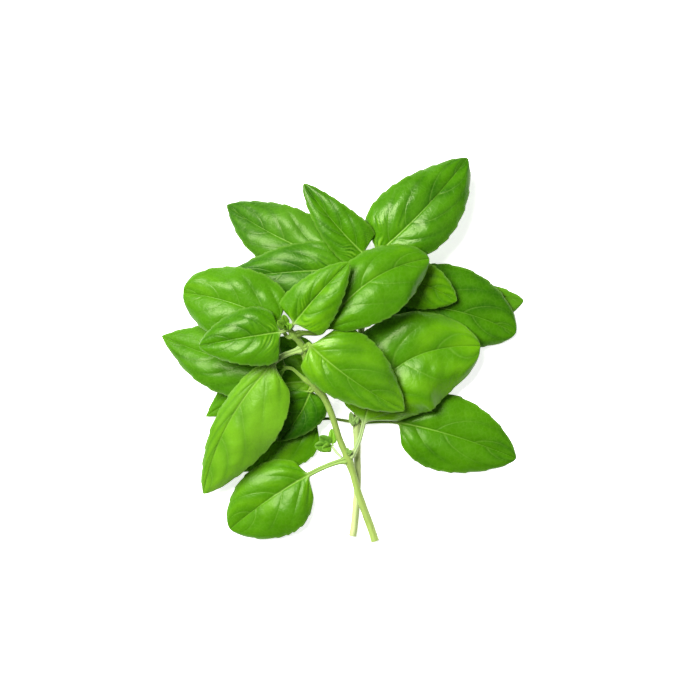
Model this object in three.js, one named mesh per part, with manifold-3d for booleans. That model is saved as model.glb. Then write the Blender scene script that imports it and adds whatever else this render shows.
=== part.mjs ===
// A cut bunch of sweet basil, lying on a flat surface: two leafy shoots that cross near their cut ends.
// Millimetres, +Z up, +Y from the cut ends to the growing tips. The surface it lies on is Z = 0.
import * as THREE from 'three';
import { mergeVertices } from 'three/addons/utils/BufferGeometryUtils.js';
import Module from 'manifold-3d';

// Driving dimensions.
const BLADE = 0.7;          // thickness of a leaf blade
const BLADE_LEAST = 0.6;    // thinnest that a blade gets where it is pressed flat on the surface
const BLADE_STEPS = 17;     // stations along a blade
const STALK_STEPS = 3;      // stations along a short stalk, half of those of a long one
const STALK_LONG = 12;      // length from which a stalk is long
const STALK = 1.0;          // radius of a leaf's stalk
const STALK_YOUNG = 0.85;   // radius of a young leaf's stalk
const TIP = 0.35;           // half width of a blade's very tip
const KEEL = 0.55;          // how far the midrib stands out under the blade, at the stalk
const TOOTH = 0.5;          // how far a tooth of the margin stands out
const TOOTH_LEAN = 0.3;     // how far a tooth points to the tip, in stations
const QUILT = 0.3;          // how far the blade swells between two side veins
const QUILTS = 4;           // side veins on each half of a blade
const QUILT_SLANT = 1.9;    // how steeply the side veins rise to the tip, in veins
const WAVES = 2.3;          // waves of the margin along a blade
const GAP = 0.35;           // clear gap between a stalk's foot and its stem
const RIB = 0.95;           // how far beside the midrib the blade leaves it
const SIDE_ACROSS = 0.55;   // place across a half blade of its middle row of points
const STEM_SIDES = 12;      // sides of a stem
const SQUARE = 0.05;        // how square a stem is in section
const BUD_STEPS = 5;        // stations along a little leaf of a bud
const BUD_STALK = 0.45;     // radius of a side shoot's own stalk
const BUD_STALK_SIDES = 8;  // sides of that stalk

const LEAF_GREEN = 0x6aa81c;
const YOUNG_GREEN = 0x8abf3a;
const STEM_GREEN = 0xbccb80;

const UP = new THREE.Vector3(0, 0, 1);
const rad = THREE.MathUtils.degToRad;
const vec = (p) => new THREE.Vector3(p[0], p[1], p[2]);

// Stems: points of the centre line with the radius there, from the cut end to the tip.
// The wider points are the nodes, where leaves stand in pairs.
const STEMS = {
  front_stem: [
    [14.7, -86.5, 1.62, 1.68],
    [12.8, -80.6, 2.0, 1.66],
    [11.0, -75.8, 2.7, 1.62],
    [8.2, -67.8, 4.6, 1.55],
    [6.6, -63.0, 5.5, 1.48],
    [5.4, -58.4, 6.2, 1.45],
    [3.9, -53.2, 7.1, 1.6],
    [2.6, -49.6, 7.9, 1.95],
    [1.2, -46.2, 8.9, 1.5],
    [-0.9, -41.4, 10.4, 1.35],
    [-2.8, -35.6, 12.4, 1.35],
    [-5.0, -28.8, 14.8, 1.4],
    [-8.2, -21.6, 17.4, 1.45],
    [-12.4, -16.4, 19.4, 1.8],
    [-14.4, -12.4, 20.8, 1.5],
    [-16.2, -5.6, 24.0, 1.35],
    [-17.6, 0.6, 27.2, 1.65],
    [-19.4, 3.8, 29.6, 1.35],
    [-21.8, 6.6, 31.6, 1.6],
    [-23.2, 8.4, 32.8, 1.2],
    [-24.3, 9.8, 33.8, 1.05],
  ],
  rear_stem: [
    [4.5, -84.2, 1.5, 1.6],
    [5.2, -80.4, 1.5, 1.58],
    [6.0, -71.8, 1.5, 1.54],
    [6.6, -63.0, 1.5, 1.5],
    [6.8, -54.0, 1.55, 1.48],
    [6.6, -46.0, 2.4, 1.45],
    [6.5, -37.0, 3.8, 1.65],
    [6.5, -32.6, 4.7, 1.95],
    [6.6, -28.5, 5.3, 1.5],
    [6.8, -20.0, 6.3, 1.5],
    [7.0, -8.0, 7.5, 1.45],
    [8.2, 6.0, 9.3, 1.4],
    [9.6, 18.0, 11.9, 1.4],
    [10.6, 26.0, 14.2, 1.7],
    [11.0, 30.0, 15.6, 1.35],
    [11.3, 34.0, 17.0, 1.6],
    [11.6, 37.0, 18.2, 1.25],
    [11.8, 39.8, 19.4, 1.2],
  ],
};

// Leaves. foot: centre of the stem at the node that it grows from, then how far from there the
// stalk starts, less the gap. lead: the direction in which the stalk leaves the stem.
// base, crown and tip lie on the midrib, crown halfway along it. left and right: widest half width,
// then how blunt the blade is at its base and at its tip (less is blunter), seen from above and
// looking to the tip. stalk: the stalk's radius where it isn't the usual one. roll turns the blade
// about its midrib, at the base and at the tip. fold lifts the halves at the midrib and bend curves
// them down again, in degrees. wave lifts the margin, and phase shifts that wave along the blade.
const LEAVES = [
  // The crown of the front shoot.
  { name: 'front_crown_leaf_right', young: true, foot: [-24.3, 9.8, 33.8, 1.05],
    lead: [0.75, 0.35, 0.55],
    base: [-21.9, 11.8, 36.6], crown: [-9.7, 26.1, 41.2], tip: [3.0, 39.2, 40.2],
    left: [11.6, 0.17, 0.7], right: [13.6, 0.17, 0.7],
    roll: [4, -6], fold: 24, bend: 52, wave: 0.5, phase: 0.1 },
  { name: 'front_crown_leaf_left', young: true, foot: [-24.3, 9.8, 33.8, 1.05],
    lead: [-0.65, -0.45, 0.6],
    base: [-27.5, 8.1, 36.2], crown: [-44.9, 5.4, 38.6], tip: [-64.3, 1.8, 33.4],
    left: [14.4, 0.2, 0.62], right: [13.8, 0.4, 0.7],
    roll: [0, 4], fold: 18, bend: 50, wave: 0.5, phase: 0.6 },
  // The pair below the crown, turned a quarter round.
  { name: 'front_upper_leaf_left', young: true, foot: [-21.8, 6.6, 31.6, 1.6],
    lead: [-0.85, -0.35, -0.35],
    base: [-28.4, 10.8, 31.4], crown: [-48.6, 20.8, 32.8], tip: [-71.6, 25.6, 24.6],
    left: [17.4, 0.5, 0.46], right: [17.8, 0.28, 0.44],
    roll: [0, 0], fold: 16, bend: 48, wave: 0.9, phase: 0.3 },
  { name: 'front_upper_leaf_right', young: true, stalk: 1.1, foot: [-21.8, 6.6, 31.6, 2.7],
    lead: [0.95, 0.25, 0.0],
    base: [-8.4, 9.0, 31.8], crown: [12.6, 31.0, 34.6], tip: [39.0, 41.0, 26.4],
    left: [13.8, 0.66, 0.6], right: [19.0, 0.6, 0.6],
    roll: [-6, -8], fold: 15, bend: 50, wave: 0.7, phase: 0.8 },
  // The middle pair.
  { name: 'front_middle_leaf_left', stalk: 1.3, foot: [-17.6, 0.6, 27.2, 1.95],
    lead: [-0.93, -0.32, 0.08],
    base: [-30.4, -5.2, 27.8], crown: [-51.6, -33.4, 22.6], tip: [-62.8, -65.0, 9.0],
    left: [22.7, 0.45, 0.68], right: [7.0, 0.5, 0.76],
    roll: [5, 6], fold: 9, bend: 42, wave: 0.8, phase: 0.2 },
  { name: 'front_middle_leaf_right', foot: [-17.6, 0.6, 27.2, 2.0], lead: [0.62, 0.3, 0.72],
    base: [-14.8, 2.4, 31.0], crown: [5.2, -14.0, 30.0], tip: [27.8, -27.4, 20.6],
    left: [20.3, 0.42, 0.7], right: [12.8, 0.3, 0.82],
    roll: [3, 0], fold: 14, bend: 46, wave: 0.8, phase: 0.55 },
  // The lower pair.
  { name: 'front_lower_leaf_left', stalk: 0.8, foot: [-12.4, -16.4, 19.4, 5.4],
    lead: [-0.81, 0.56, 0.12],
    base: [-24.6, -8.0, 20.8], crown: [-52.6, -4.2, 16.4], tip: [-81.8, 6.3, 5.0],
    left: [16.4, 0.7, 0.95], right: [17.8, 0.62, 0.85],
    roll: [0, 0], fold: 14, bend: 44, wave: 0.8, phase: 0.4 },
  { name: 'front_lower_leaf_inner', foot: [-12.4, -16.4, 19.4, 2.15], lead: [-0.6, -0.6, -0.5],
    base: [-14.6, -18.4, 15.0], crown: [-19.6, -29.4, 11.9], tip: [-29.2, -41.4, 9.8],
    left: [10.8, 0.4, 0.9], right: [13.4, 0.26, 0.8],
    roll: [0, 0], fold: 16, bend: 40, wave: 0.5, phase: 0.7 },
  // The bottom pair, just above the crossing of the two stems.
  { name: 'front_bottom_leaf_left', stalk: 1.2, foot: [2.6, -49.6, 7.9, 1.95],
    lead: [-0.97, -0.2, 0.05],
    base: [-15.0, -56.2, 7.2], crown: [-33.2, -67.4, 7.8], tip: [-51.0, -81.2, 0.15],
    left: [19.2, 0.55, 0.66], right: [15.8, 0.5, 0.6],
    roll: [0, 0], fold: 12, bend: 36, wave: 0.5, phase: 0.15 },
  { name: 'front_bottom_leaf_right', foot: [2.6, -49.6, 7.9, 3.7], lead: [0.56, 0.81, 0.2],
    base: [9.5, -33.3, 11.0], crown: [26.8, -6.3, 17.4], tip: [62.3, 1.8, 11.6],
    left: [22.4, 0.6, 0.65], right: [25.8, 0.42, 0.45],
    roll: [3, 0], fold: 13, bend: 42, wave: 0.9, phase: 0.35 },
  // The top pair of the rear shoot.
  { name: 'rear_top_leaf_right', young: true, foot: [11.8, 39.8, 19.4, 1.2],
    lead: [0.9, 0.35, 0.3],
    base: [15.2, 43.2, 21.0], crown: [37.0, 63.6, 23.6], tip: [56.4, 86.6, 13.0],
    left: [19.2, 0.36, 0.74], right: [17.6, 0.62, 0.8],
    roll: [0, 0], fold: 14, bend: 46, wave: 0.8, phase: 0.65 },
  { name: 'rear_top_leaf_middle', young: true, foot: [11.8, 39.8, 19.4, 1.2],
    lead: [-0.6, 0.3, 0.75],
    base: [9.6, 43.2, 22.8], crown: [-3.6, 57.0, 25.6], tip: [-17.4, 74.8, 24.0],
    left: [9.6, 0.2, 0.64], right: [11.4, 0.2, 0.7],
    roll: [0, 0], fold: 26, bend: 44, wave: 0.5, phase: 0.9 },
  // The second pair of the rear shoot.
  { name: 'rear_upper_leaf_left', foot: [11.3, 34.0, 17.0, 1.6], lead: [-0.95, 0.2, 0.2],
    base: [2.6, 36.4, 18.2], crown: [-22.6, 35.2, 19.6], tip: [-53.0, 32.4, 11.6],
    left: [21.8, 0.42, 0.88], right: [13.8, 0.3, 0.68],
    roll: [0, 0], fold: 14, bend: 44, wave: 0.6, phase: 0.05 },
  { name: 'rear_upper_leaf_right', foot: [11.3, 34.0, 17.0, 1.6], lead: [0.95, 0.0, 0.1],
    base: [18.4, 35.6, 17.2], crown: [35.8, 29.8, 17.4], tip: [51.6, 22.2, 14.2],
    left: [10.4, 0.6, 0.8], right: [12.4, 0.6, 0.8],
    roll: [0, 0], fold: 15, bend: 44, wave: 0.5, phase: 0.5 },
  // The third pair of the rear shoot.
  { name: 'rear_middle_leaf_left', foot: [10.6, 26.0, 14.2, 1.7], lead: [-0.97, 0.15, -0.1],
    base: [-1.6, 39.6, 14.4], crown: [-29.4, 51.2, 11.2], tip: [-52.5, 65.6, 0.15],
    left: [14.2, 0.62, 0.9], right: [16.0, 0.5, 0.74],
    roll: [0, 0], fold: 13, bend: 40, wave: 0.8, phase: 0.25 },
  { name: 'rear_middle_leaf_right', foot: [10.6, 26.0, 14.2, 1.7], lead: [0.95, -0.1, -0.25],
    base: [19.4, 19.4, 11.0], crown: [48.6, 18.2, 9.8], tip: [78.4, 7.6, 2.6],
    left: [20.8, 0.56, 0.66], right: [16.4, 0.6, 0.56],
    roll: [0, 0], fold: 13, bend: 42, wave: 0.8, phase: 0.75 },
  // The lower leaves of the rear shoot.
  { name: 'rear_lower_leaf_right', foot: [8.2, 6.0, 9.3, 1.4], lead: [0.95, 0.0, -0.3],
    base: [28.0, 24.6, 5.0], crown: [56.2, 25.4, 3.4], tip: [82.0, 22.4, 0.15],
    left: [5.8, 0.62, 0.7], right: [14.4, 0.6, 0.66],
    roll: [0, 0], fold: 10, bend: 26, wave: 0.4, phase: 0.45 },
  { name: 'rear_lower_leaf_left', foot: [6.8, -20.0, 6.3, 1.5], lead: [-1, 0.0, 0.1],
    base: [-10.4, -14.6, 9.4], crown: [-36.4, -17.4, 8.4], tip: [-62.0, -30.2, 2.4],
    left: [14.0, 0.55, 0.95], right: [22.0, 0.34, 1.05],
    roll: [0, 0], fold: 12, bend: 38, wave: 0.6, phase: 0.85 },
  // The bottom pair of the rear shoot.
  { name: 'rear_bottom_leaf_right', stalk: 0.9, foot: [6.5, -32.6, 4.7, 1.95], lead: [1, 0.0, 0.05],
    base: [24.8, -32.7, 5.0], crown: [50.2, -38.8, 5.6], tip: [78.6, -49.2, 0.15],
    left: [18.2, 0.52, 0.72], right: [17.6, 0.52, 0.72],
    roll: [0, 0], fold: 12, bend: 36, wave: 0.7, phase: 0.3 },
  { name: 'rear_bottom_leaf_left', stalk: 0.65, foot: [6.5, -32.6, 4.7, 1.95],
    lead: [-1, 0.1, -0.1],
    base: [-11.2, -31.8, 4.2], crown: [-29.4, -40.4, 3.8], tip: [-50.4, -54.2, 1.2],
    left: [15.4, 0.52, 0.85], right: [13.0, 0.6, 0.85],
    roll: [0, 0], fold: 12, bend: 34, wave: 0.5, phase: 0.6 },
];

// Side shoots and buds: each little leaf has a root, a direction, a length, a width and how far it
// curls up. Those with a stalk have its points and its radius first.
const BUDS = {
  front_crown_leaflets: {
    leaves: [
      { at: [-25.1, 10.5, 35.9], toward: [-0.22, 0.85, 0.6], size: [7.2, 4.0], cup: 0.12 },
      { at: [-25.1, 10.3, 35.9], toward: [-0.75, 0.5, 0.85], size: [7.0, 4.2], cup: 0.05 },
      { at: [-24.8, 10.5, 35.9], toward: [0.5, 0.1, 1.2], size: [5.4, 3.4], cup: -0.05 },
      { at: [-25.2, 10.4, 36.1], toward: [-0.45, -0.1, 1.1], size: [5.4, 3.4], cup: 0.1 },
      { at: [-25.0, 10.4, 36.0], toward: [0.2, 0.1, 1], size: [4.2, 2.8], cup: 0.1 },
    ],
  },
  front_side_shoot_left: {
    stalk: [[-0.5, -48.4, 9.1], [-2.6, -46.4, 8.5], [-4.6, -43.8, 7.8]],
    leaves: [
      { at: [-4.6, -43.6, 7.8], toward: [-1, 0.05, 0.1], size: [8.2, 6.0], cup: 0.12 },
      { at: [-4.8, -43.4, 7.8], toward: [-0.8, 0.65, 0.15], size: [7.4, 5.4], cup: 0.16 },
      { at: [-4.8, -43.6, 7.9], toward: [-0.9, -0.2, 0.8], size: [5.6, 4.6], cup: -0.1 },
      { at: [-4.4, -43.6, 7.9], toward: [-0.05, 1, 0.0], size: [8.0, 4.0], cup: 0.0 },
    ],
  },
  front_side_bud_right: {
    leaves: [
      { at: [2.9, -47.4, 10.6], toward: [-0.2, 1, 0.35], size: [3.6, 1.8], cup: 0.1 },
      { at: [3.0, -47.3, 10.6], toward: [0.3, 0.9, 0.4], size: [2.8, 1.6], cup: 0.2 },
    ],
  },
  rear_side_bud: {
    leaves: [
      { at: [4.4, -34.2, 7.0], toward: [-0.1, 1, 0.12], size: [6.4, 2.8], cup: 0.1 },
      { at: [4.5, -34.1, 7.0], toward: [0.6, 0.9, 0.15], size: [5.4, 2.8], cup: 0.1 },
      { at: [4.4, -34.2, 7.0], toward: [0.2, 0.8, 0.7], size: [3.4, 2.0], cup: 0.1 },
    ],
  },
};

// A point and a direction on a blade's midrib: a parabola through base, crown and tip.
function midrib(leaf, u) {
  const a = vec(leaf.base);
  const c = vec(leaf.tip);
  const b = vec(leaf.crown).multiplyScalar(2).addScaledVector(a, -0.5).addScaledVector(c, -0.5);
  const at = a.clone().multiplyScalar((1 - u) * (1 - u));
  at.addScaledVector(b, 2 * u * (1 - u)).addScaledVector(c, u * u);
  const along = b.clone().sub(a).multiplyScalar(2 * (1 - u)).addScaledVector(c.clone().sub(b), 2 * u);
  return { at, along: along.normalize() };
}

// Half width of a blade as a share of its widest, with how blunt it is at the base and the tip.
function outline(u, a, b) {
  const peak = a / (a + b);
  return (u ** a * (1 - u) ** b) / (peak ** a * (1 - peak) ** b);
}

// One point of a blade's middle surface, with the direction that is straight up from it.
function bladePoint(leaf, u, v, least, tooth) {
  const { at, along } = midrib(leaf, u);
  const across = UP.clone().cross(along).normalize();
  const normal = along.clone().cross(across);
  const turn = rad(leaf.roll[0] + (leaf.roll[1] - leaf.roll[0]) * u);
  const side = across.clone().multiplyScalar(Math.cos(turn)).addScaledVector(normal, Math.sin(turn));
  const up = normal.clone().multiplyScalar(Math.cos(turn)).addScaledVector(across, -Math.sin(turn));
  const [half, a, b] = v > 0 ? leaf.left : leaf.right;
  const share = outline(u, a, b);
  const width = Math.max(half * share + tooth, least);
  const sign = Math.sign(v);
  const far = Math.abs(v);
  const fold = rad(leaf.fold);
  const bend = rad(leaf.bend);
  const lean = fold - bend * far;
  const out = (width * (Math.sin(fold) - Math.sin(lean))) / bend;
  const turns = WAVES * u + leaf.phase + 0.25 * sign;
  const wave = leaf.wave * share * far * far * Math.sin(2 * Math.PI * turns);
  const ripple = Math.cos(2 * Math.PI * (QUILTS * u - QUILT_SLANT * far));
  const swell = QUILT * share * Math.sin(Math.PI * far) * ripple;
  const rise = (width * (Math.cos(lean) - Math.cos(fold))) / bend + wave + swell;
  const point = at.addScaledVector(side, out * sign).addScaledVector(up, rise);
  const away = up.clone().multiplyScalar(Math.cos(lean)).addScaledVector(side, -sign * Math.sin(lean));
  return { point, away, up, side, width };
}

// A closed skin over a row of rings that have the same number of points. Even points are joined
// by the same diagonal on both faces, so a thin blade keeps its thickness.
function skin(rings, flip) {
  const count = rings[0].length;
  const position = [];
  const index = [];
  for (const ring of rings) {
    for (const p of ring) position.push(p.x, p.y, p.z);
  }
  for (let i = 0; i + 1 < rings.length; i += 1) {
    for (let j = 0; j < count; j += 1) {
      const k = (j + 1) % count;
      const a = i * count + j;
      const b = i * count + k;
      const c = (i + 1) * count + k;
      const d = (i + 1) * count + j;
      if (flip(j)) index.push(a, b, d, b, c, d);
      else index.push(a, b, c, a, c, d);
    }
  }
  const last = (rings.length - 1) * count;
  for (const [j, k] of capPairs(count)) {
    index.push(j[0], k[1], k[0], j[0], j[1], k[1]);
    index.push(last + j[0], last + k[0], last + k[1], last + j[0], last + k[1], last + j[1]);
  }
  const geometry = new THREE.BufferGeometry();
  geometry.setAttribute('position', new THREE.Float32BufferAttribute(position, 3));
  geometry.setIndex(dropEmpty(index));
  return geometry;
}

// A ring's end face, as strips between its top row and its bottom row.
function capPairs(count) {
  const pairs = [];
  for (let j = 0; j + 1 < count / 2; j += 1) {
    pairs.push([[j, count - 1 - j], [j + 1, count - 2 - j]]);
  }
  return pairs;
}

function dropEmpty(index) {
  const kept = [];
  for (let i = 0; i < index.length; i += 3) {
    const [a, b, c] = index.slice(i, i + 3);
    if (a !== b && b !== c && a !== c) kept.push(a, b, c);
  }
  return kept;
}

// Places across a blade: margin, middle, beside the midrib, midrib, and the same on the other side.
function places(leaf, u) {
  const right = Math.min(0.3, RIB / (leaf.right[0] * outline(u, leaf.right[1], leaf.right[2])));
  const left = Math.min(0.3, RIB / (leaf.left[0] * outline(u, leaf.left[1], leaf.left[2])));
  return [-1, -SIDE_ACROSS, -right, 0, left, SIDE_ACROSS, 1];
}

// A ring round a leaf's stalk, matched point for point with the rings of the blade.
function stalkRing(at, along, radius) {
  const side = UP.clone().cross(along).normalize();
  const up = along.clone().cross(side);
  const spread = [-1, -2 / 3, -1 / 3, 0, 1 / 3, 2 / 3, 1];
  const angles = spread.map((w) => 90 - 75 * w).concat(spread.map((w) => -90 - 75 * w));
  const ring = angles.map((angle) => at.clone()
    .addScaledVector(side, radius * Math.cos(rad(angle)))
    .addScaledVector(up, radius * Math.sin(rad(angle))));
  return ring.reverse();
}

// A ring round a blade at one station.
function bladeRing(leaf, u, least, tooth, shift) {
  const top = [];
  const bottom = [];
  for (const v of places(leaf, u)) {
    const edge = Math.abs(v) === 1;
    const station = edge ? Math.min(1, u + shift) : u;
    const { point, away } = bladePoint(leaf, station, v, least, edge ? tooth : 0);
    const keel = v === 0 ? KEEL * (1 - u) : 0;
    const high = point.clone().addScaledVector(away, BLADE / 2);
    const low = point.clone().addScaledVector(away, -BLADE / 2 - keel);
    low.z = Math.max(low.z, 0);
    high.z = Math.max(high.z, low.z + BLADE_LEAST);
    top.push(high);
    bottom.unshift(low);
  }
  return top.concat(bottom).reverse();
}

// One whole leaf: its stalk and its blade in one closed skin.
function leafGeometry(leaf) {
  const foot = vec(leaf.foot);
  const lead = vec(leaf.lead).normalize();
  const base = midrib(leaf, 0);
  const start = foot.clone().addScaledVector(lead, leaf.foot[3] + GAP);
  const length = start.distanceTo(base.at);
  const stalk = new THREE.CubicBezierCurve3(
    start,
    start.clone().addScaledVector(lead, length / 3),
    base.at.clone().addScaledVector(base.along, -length / 3),
    base.at,
  );
  const radius = leaf.stalk ?? (leaf.young ? STALK_YOUNG : STALK);
  const steps = length > STALK_LONG ? STALK_STEPS * 2 : STALK_STEPS;
  const rings = [];
  for (let i = 0; i < steps; i += 1) {
    const t = i / (steps - 1);
    rings.push(stalkRing(stalk.getPoint(t), stalk.getTangent(t), radius * (1.12 - 0.12 * t)));
  }
  for (let i = 1; i <= BLADE_STEPS; i += 1) {
    const u = i / BLADE_STEPS;
    const tip = i === BLADE_STEPS;
    const even = i % 2 === 0;
    const tooth = (even ? 0.5 : -0.5) * TOOTH * Math.min(1, 8 * (1 - u), 8 * u);
    const shift = even ? TOOTH_LEAN / BLADE_STEPS : 0;
    rings.push(bladeRing(leaf, u, tip ? TIP : radius * 0.9, tooth, shift));
  }
  const half = rings[0].length / 2;
  return skin(rings, (j) => j >= half);
}

// A stem: a rounded square section swept along its centre line, swollen at the nodes.
function stemGeometry(points) {
  const curve = new THREE.CatmullRomCurve3(points.map(vec), false, 'centripetal');
  const rings = [];
  const steps = points.length * 2 - 1;
  for (let i = 0; i < steps; i += 1) {
    const t = i / (steps - 1);
    const at = curve.getPoint(t);
    const along = curve.getTangent(t);
    const side = UP.clone().cross(along).normalize();
    const up = along.clone().cross(side);
    const low = points[Math.floor(i / 2)][3];
    const high = points[Math.min(points.length - 1, Math.ceil(i / 2))][3];
    const radius = i % 2 === 0 ? low : Math.min(low, high) * 0.6 + Math.max(low, high) * 0.4;
    const ring = [];
    for (let j = 0; j < STEM_SIDES; j += 1) {
      const angle = (2 * Math.PI * (j + 0.5)) / STEM_SIDES;
      const r = radius * (1 + SQUARE * Math.cos(4 * angle));
      const p = at.clone().addScaledVector(side, r * Math.cos(angle));
      p.addScaledVector(up, r * Math.sin(angle));
      p.z = Math.max(p.z, 0);
      ring.push(p);
    }
    rings.push(ring);
  }
  return skin(rings, () => false);
}

// A little unopened leaf of a bud: a narrow cupped blade with a thick base.
function budLeaf({ at, toward, size, cup }) {
  const [length, width] = size;
  const along = vec(toward).normalize();
  const side = UP.clone().cross(along).normalize();
  const up = along.clone().cross(side);
  const across = [-1, -0.45, 0.45, 1];
  const rings = [];
  for (let i = 0; i <= BUD_STEPS; i += 1) {
    const u = i / BUD_STEPS;
    const half = (width / 2) * (0.3 + 0.7 * Math.sin(Math.PI * Math.min(1, 0.05 + 0.95 * u ** 0.85)));
    const w = i === BUD_STEPS ? 0.3 : half;
    const middle = vec(at).addScaledVector(along, length * u).addScaledVector(up, cup * length * u * u);
    const row = (lift) => across.map((x) => middle.clone()
      .addScaledVector(side, x * w)
      .addScaledVector(up, lift + 0.35 * w * x * x));
    rings.push(row(BLADE / 2).concat(row(-BLADE / 2).reverse()).reverse());
  }
  return skin(rings, (j) => j >= across.length);
}

// A thin round stalk along a few points.
function stalkGeometry(points) {
  const curve = new THREE.CatmullRomCurve3(points.map(vec));
  const rings = [];
  for (let i = 0; i <= BUD_STEPS; i += 1) {
    const t = i / BUD_STEPS;
    const along = curve.getTangent(t);
    const side = UP.clone().cross(along).normalize();
    const up = along.clone().cross(side);
    const ring = [];
    for (let j = 0; j < BUD_STALK_SIDES; j += 1) {
      const angle = (2 * Math.PI * (j + 0.5)) / BUD_STALK_SIDES;
      ring.push(curve.getPoint(t)
        .addScaledVector(side, BUD_STALK * Math.cos(angle))
        .addScaledVector(up, BUD_STALK * Math.sin(angle)));
    }
    rings.push(ring);
  }
  return skin(rings, () => false);
}

const wasm = await Module();
wasm.setup();

function toSolid(geometry) {
  const bare = new THREE.BufferGeometry();
  bare.setAttribute('position', geometry.getAttribute('position'));
  if (geometry.index) bare.setIndex(geometry.index);
  const merged = mergeVertices(bare, 1e-4);
  return new wasm.Manifold(new wasm.Mesh({
    numProp: 3,
    vertProperties: new Float32Array(merged.getAttribute('position').array),
    triVerts: new Uint32Array(merged.index.array),
  }));
}

function fuse(geometries) {
  let whole = toSolid(geometries[0]);
  for (const next of geometries.slice(1)) whole = whole.add(toSolid(next));
  const mesh = whole.getMesh();
  const geometry = new THREE.BufferGeometry();
  const position = [];
  for (let i = 0; i < mesh.vertProperties.length; i += mesh.numProp) {
    position.push(mesh.vertProperties[i], mesh.vertProperties[i + 1], mesh.vertProperties[i + 2]);
  }
  geometry.setAttribute('position', new THREE.Float32BufferAttribute(position, 3));
  geometry.setIndex(Array.from(mesh.triVerts));
  return geometry;
}

const bunch = new THREE.Group();

function add(name, geometry, color, roughness) {
  geometry.computeVertexNormals();
  const material = new THREE.MeshStandardMaterial({ color, roughness, metalness: 0 });
  const mesh = new THREE.Mesh(geometry, material);
  mesh.name = name;
  bunch.add(mesh);
}

for (const [name, points] of Object.entries(STEMS)) {
  add(name, stemGeometry(points), STEM_GREEN, 0.6);
}
for (const leaf of LEAVES) {
  add(leaf.name, leafGeometry(leaf), leaf.young ? YOUNG_GREEN : LEAF_GREEN, 0.45);
}

for (const [name, bud] of Object.entries(BUDS)) {
  const pieces = bud.leaves.map(budLeaf);
  if (bud.stalk) pieces.push(stalkGeometry(bud.stalk));
  add(name, fuse(pieces), YOUNG_GREEN, 0.45);
}

export default bunch;
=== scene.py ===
import math

import bpy
import numpy as np
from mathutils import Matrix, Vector


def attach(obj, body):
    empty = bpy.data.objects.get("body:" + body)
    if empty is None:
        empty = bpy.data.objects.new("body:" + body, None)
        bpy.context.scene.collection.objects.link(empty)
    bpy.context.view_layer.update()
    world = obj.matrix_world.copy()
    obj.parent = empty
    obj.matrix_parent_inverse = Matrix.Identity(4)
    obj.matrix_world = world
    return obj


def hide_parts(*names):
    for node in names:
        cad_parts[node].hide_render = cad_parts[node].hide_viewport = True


# A cut bunch of sweet basil: two leafy shoots that lie on a white surface, seen from above.
# Every piece lies in the frame of the solids. Shapes are worked out in millimetres.
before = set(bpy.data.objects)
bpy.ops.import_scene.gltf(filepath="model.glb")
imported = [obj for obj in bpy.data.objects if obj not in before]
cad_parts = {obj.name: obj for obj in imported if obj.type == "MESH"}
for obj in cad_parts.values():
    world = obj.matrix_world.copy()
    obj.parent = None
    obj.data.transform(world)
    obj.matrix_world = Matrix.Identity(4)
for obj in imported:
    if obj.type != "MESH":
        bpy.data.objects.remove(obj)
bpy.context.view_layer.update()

MM = 0.001
UP = np.array([0.0, 0.0, 1.0])

# Fineness of the pieces.
BLADE_ROWS = 124  # stations along a blade
BUD_ROWS = 26  # the same on a little leaf of a bud
HALF_COLUMNS = 28  # columns across half a blade
STALK_ROWS = 26  # stations along a stalk
FOOT_ROWS = 6  # stations along the foot of a stalk, inside its stem
STEM_ROWS = 420  # stations along a stem
STEM_SIDES = 40
SHOOT_ROWS = 24  # stations along the stalk of a side shoot
SHOOT_SIDES = 16

# Blades, in mm where nothing else is said.
BLADE = 0.36  # thickness of a blade
RIM = 0.2  # thickness of its margin
THINNEST = 0.15  # thickness where it is pressed flat on the surface
TIP = 0.12  # half width of its very tip
TEETH = 8.5  # teeth along one margin
TEETH_SWAY = (0.1, 25.0)  # how unevenly they stand, in teeth, and over what length
TOOTH = 0.5  # how far a tooth stands out
TOOTH_DROP = 0.16  # share of a tooth in which its far side drops back
LEVEL = (0, 0)  # the roll of most blades, in degrees
WAVES = 2.3  # waves of the margin along a blade
WAVE_SHIFT = 0.25  # how far those of the left margin run ahead of the middle, in waves

# A blade's relief. The depths are those of a blade with the half width LARGE.
LARGE = 18.0
SMALL = 9.0  # half width below which a blade's veins are finer too
USUAL_VEINS = 4.0  # side veins on each half
VEIN_SLANT = 2.1  # how far a side vein runs forward on its way out, in veins
VEIN_CURVE = 1.45  # how much it bends forward, 1 for a straight one
VEIN_OFFSET = 0.13  # how far the veins of the left half stand behind the middle, in veins
VEIN_SWAY = (0.09, 45.0)  # how far they wander, in veins, and over what length
PILLOW = 0.42  # how far the blade swells between two side veins
PILLOW_SWAY = 26.0  # length over which that swelling grows and fades
DOME = 0.7  # how far the middle of each half swells
DOME_SINK = 0.4  # share of that by which the whole blade sinks, to stay on its midrib
PLEATS = 3.2  # fine pleats between two side veins
PLEAT = 0.24  # how deep they are near the base of a young leaf
PLEAT_SWAY = 15.0  # length over which they wander and fade
GRAIN = (0.02, 4.5)  # depth and length of the finest unevenness
DIMPLES = (0.08, 11.0)  # the same of its dimples
SWELLS = (0.45, 34.0)  # the same of its broadest swells
ELSEWHERE = (90.0, -40.0)  # shifts that lead to other stretches of the same random field

# The midrib's keel under a blade and its groove on top, and the side veins. Where there are two
# numbers, the first holds at the tip and the second is what the base adds, for the keel in radii
# of the stalk.
KEEL_DEPTH = (0.12, 0.85)
KEEL_WIDTH = (0.25, 0.75)
GROOVE_DEPTH = (0.08, 0.2)
GROOVE_WIDTH = (0.3, 0.3)
LINE_WIDTH = 0.12  # of a side vein's line, as a share of half the gap between two
LINE_ABOVE = 0.06  # how deep that line lies in the upper face
LINE_BELOW = 0.12  # how far it stands out below

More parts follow.
